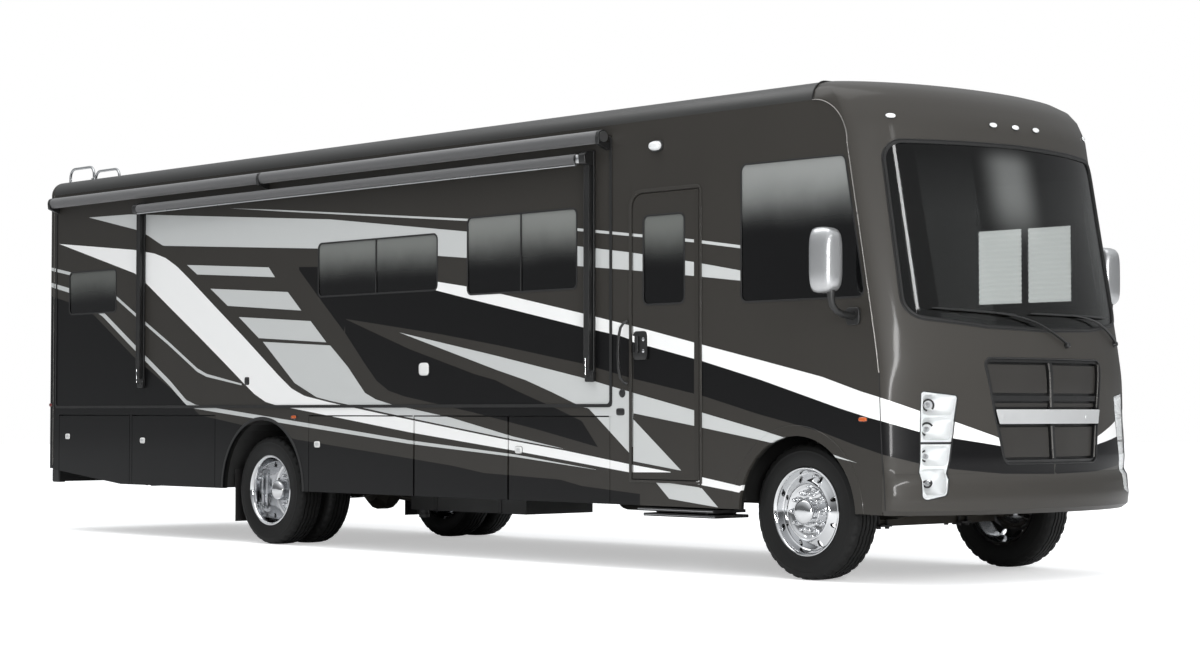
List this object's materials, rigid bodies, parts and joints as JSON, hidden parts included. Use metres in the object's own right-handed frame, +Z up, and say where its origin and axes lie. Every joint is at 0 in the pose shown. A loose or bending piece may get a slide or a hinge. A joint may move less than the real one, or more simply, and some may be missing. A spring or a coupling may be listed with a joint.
{
  "type": "motorhome",
  "caption": "Class A motorhome with a flat raked nose, a full-wall slide-out room, a rolled patio awning, hinged baggage doors and twin rear wheels.",
  "frame": {"origin": "on the ground under the middle of the whole length and width", "axes": "+X forward, +Y to the street (driver's) side, -Y to the curb (door) side, +Z up"},
  "size_m": [11.119, 3.2, 3.5103],
  "materials": {
    "body_paint": "satin charcoal coachwork paint on laminate and moulded caps",
    "tinted_glass": "dark tinted glass",
    "grille_plastic": "satin black moulding",
    "lamp_chrome": "bright reflector",
    "mirror_shell": "bright moulded shell",
    "black_trim": "black powder coat and moulding",
    "shroud_plastic": "black moulded shroud",
    "ladder_aluminium": "polished tube",
    "dash_plastic": "grained moulding",
    "seat_leather": "stitched leather",
    "chassis_steel": "black chassis paint",
    "cast_engine": "cast block",
    "tank_plastic": "black moulded tank and bay liner",
    "floor_laminate": "laminated floor",
    "polished_wheel": "polished",
    "tyre_rubber": "black rubber"
  },
  "bodies": {
    "coach": {"chassis_frame": "chassis_steel", "floor_pan": "floor_laminate", "curb_wall": "body_paint", "street_wall": "body_paint", "roof": "body_paint", "front_cap": "body_paint", "rear_cap": "body_paint", "windscreen": "tinted_glass", "cab_glass_curb": "tinted_glass", "cab_glass_street": "tinted_glass", "street_glass_rear": "tinted_glass", "street_glass_middle": "tinted_glass", "grille": "grille_plastic", "headlamp_curb": "lamp_chrome", "headlamp_street": "lamp_chrome", "mirror_curb": "mirror_shell", "mirror_street": "mirror_shell", "wiper_curb": "black_trim", "wiper_street": "black_trim", "ladder": "ladder_aluminium", "rear_bumper": "black_trim", "dashboard": "dash_plastic", "seat_driver": "seat_leather", "seat_passenger": "seat_leather", "air_conditioner_front": "shroud_plastic", "air_conditioner_rear": "shroud_plastic", "engine_block": "cast_engine", "front_axle": "chassis_steel", "rear_axle": "chassis_steel", "waste_tank": "tank_plastic", "baggage_bays_curb": "tank_plastic", "baggage_bays_street": "tank_plastic"},
    "slide_room": {"slide_room": "body_paint", "slide_glass_rear": "tinted_glass", "slide_glass_middle": "tinted_glass", "slide_glass_front": "tinted_glass", "awning": "black_trim", "slide_topper": "black_trim"},
    "entry_door": {"entry_door": "body_paint", "entry_door_glass": "tinted_glass"},
    "entry_step": {"entry_step": "chassis_steel"},
    "bay_door_curb_1": {"bay_door_curb_1": "body_paint"},
    "bay_door_curb_2": {"bay_door_curb_2": "body_paint"},
    "bay_door_curb_3": {"bay_door_curb_3": "body_paint"},
    "bay_door_curb_4": {"bay_door_curb_4": "body_paint"},
    "bay_door_curb_5": {"bay_door_curb_5": "body_paint"},
    "bay_door_street_1": {"bay_door_street_1": "body_paint"},
    "bay_door_street_2": {"bay_door_street_2": "body_paint"},
    "knuckle_curb": {"knuckle_curb": "chassis_steel"},
    "front_wheel_curb": {"front_rim_curb": "polished_wheel", "front_tyre_curb": "tyre_rubber"},
    "rear_wheels_curb": {"rear_rims_curb": "polished_wheel", "rear_outer_tyre_curb": "tyre_rubber", "rear_inner_tyre_curb": "tyre_rubber"},
    "knuckle_street": {"knuckle_street": "chassis_steel"},
    "front_wheel_street": {"front_rim_street": "polished_wheel", "front_tyre_street": "tyre_rubber"},
    "rear_wheels_street": {"rear_rims_street": "polished_wheel", "rear_outer_tyre_street": "tyre_rubber", "rear_inner_tyre_street": "tyre_rubber"}
  },
  "joints": [
    {"name": "slide_room_out", "type": "slide", "parent": "coach", "child": "slide_room", "axis": [0, -1, 0], "range_m": [0, 0.75]},
    {"name": "entry_door_hinge", "type": "hinge", "parent": "coach", "child": "entry_door", "pos_m": [3.448, -1.2765, 1.66], "axis": [0, 0, 1], "range_deg": [0, 100]},
    {"name": "entry_step_out", "type": "slide", "parent": "coach", "child": "entry_step", "axis": [0, -1, 0], "range_m": [0, 0.3]},
    {"name": "bay_door_curb_1_hinge", "type": "hinge", "parent": "coach", "child": "bay_door_curb_1", "pos_m": [-3.956, -1.2765, 0.8], "axis": [0, 0, 1], "range_deg": [0, 100]},
    {"name": "bay_door_curb_2_hinge", "type": "hinge", "parent": "coach", "child": "bay_door_curb_2", "pos_m": [-2.556, -1.2765, 0.8], "axis": [0, 0, 1], "range_deg": [0, 100]},
    {"name": "bay_door_curb_3_hinge", "type": "hinge", "parent": "coach", "child": "bay_door_curb_3", "pos_m": [0.244, -1.2765, 0.8], "axis": [0, 0, 1], "range_deg": [0, 100]},
    {"name": "bay_door_curb_4_hinge", "type": "hinge", "parent": "coach", "child": "bay_door_curb_4", "pos_m": [1.394, -1.2765, 0.8], "axis": [0, 0, 1], "range_deg": [0, 100]},
    {"name": "bay_door_curb_5_hinge", "type": "hinge", "parent": "coach", "child": "bay_door_curb_5", "pos_m": [2.534, -1.2765, 0.8], "axis": [0, 0, 1], "range_deg": [0, 100]},
    {"name": "bay_door_street_1_hinge", "type": "hinge", "parent": "coach", "child": "bay_door_street_1", "pos_m": [-2.556, 1.2765, 0.8], "axis": [0, 0, -1], "range_deg": [0, 100]},
    {"name": "bay_door_street_2_hinge", "type": "hinge", "parent": "coach", "child": "bay_door_street_2", "pos_m": [0.244, 1.2765, 0.8], "axis": [0, 0, -1], "range_deg": [0, 100]},
    {"name": "steer_curb", "type": "hinge", "parent": "coach", "child": "knuckle_curb", "pos_m": [4.33, -0.93, 0.46], "axis": [0, 0, 1], "range_deg": [-38, 38]},
    {"name": "front_wheel_spin_curb", "type": "hinge", "parent": "knuckle_curb", "child": "front_wheel_curb", "pos_m": [4.33, -1.033, 0.46], "axis": [0, 1, 0], "continuous": true},
    {"name": "rear_wheels_spin_curb", "type": "hinge", "parent": "coach", "child": "rear_wheels_curb", "pos_m": [-1.82, -0.94, 0.46], "axis": [0, 1, 0], "continuous": true},
    {"name": "steer_street", "type": "hinge", "parent": "coach", "child": "knuckle_street", "pos_m": [4.33, 0.93, 0.46], "axis": [0, 0, 1], "range_deg": [-38, 38]},
    {"name": "front_wheel_spin_street", "type": "hinge", "parent": "knuckle_street", "child": "front_wheel_street", "pos_m": [4.33, 1.033, 0.46], "axis": [0, 1, 0], "continuous": true},
    {"name": "rear_wheels_spin_street", "type": "hinge", "parent": "coach", "child": "rear_wheels_street", "pos_m": [-1.82, 0.94, 0.46], "axis": [0, 1, 0], "continuous": true}
  ],
  "couplings": [
    {"joint": "steer_street", "follows": "steer_curb", "ratio": 1}
  ]
}
